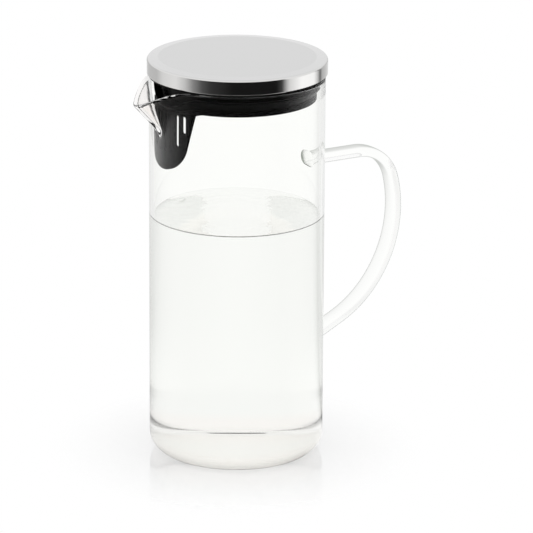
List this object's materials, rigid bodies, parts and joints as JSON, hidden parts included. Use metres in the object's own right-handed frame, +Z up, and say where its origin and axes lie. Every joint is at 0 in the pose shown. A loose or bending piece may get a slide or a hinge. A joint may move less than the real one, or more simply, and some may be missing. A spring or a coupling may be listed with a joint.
{
  "type": "glass pitcher with lid",
  "caption": "Tall straight glass pitcher with a pulled pouring spout, a glass strap handle and a round steel-capped lid with a lip seal and a slotted strainer.",
  "frame": {"origin": "centre of the round base, on the table", "axes": "+Z up along the glass cylinder's axis, -X towards the spout and +X towards the handle, +Y across the handle's loop"},
  "size_m": [0.1737, 0.1024, 0.233],
  "materials": {
    "glass": "clear fire-polished borosilicate glass",
    "steel": "satin top with a brighter drawn side band",
    "plastic": "fine matte moulded black",
    "seal": "soft satin black silicone",
    "strainer_plastic": "fine matte moulded charcoal"
  },
  "bodies": {
    "glass": {"glass_body": "glass", "glass_handle": "glass"},
    "cap": {"lid_cap": "steel"},
    "insert": {"lid_plug": "plastic", "lid_seal": "seal", "strainer": "strainer_plastic"}
  },
  "joints": [
    {"name": "lid_lift", "type": "slide", "parent": "glass", "child": "cap", "axis": [0, 0, 1], "range_m": [0, 0.12]},
    {"name": "lid_turn", "type": "hinge", "parent": "cap", "child": "insert", "pos_m": [0, 0, 0.222], "axis": [0, 0, 1], "continuous": true}
  ]
}
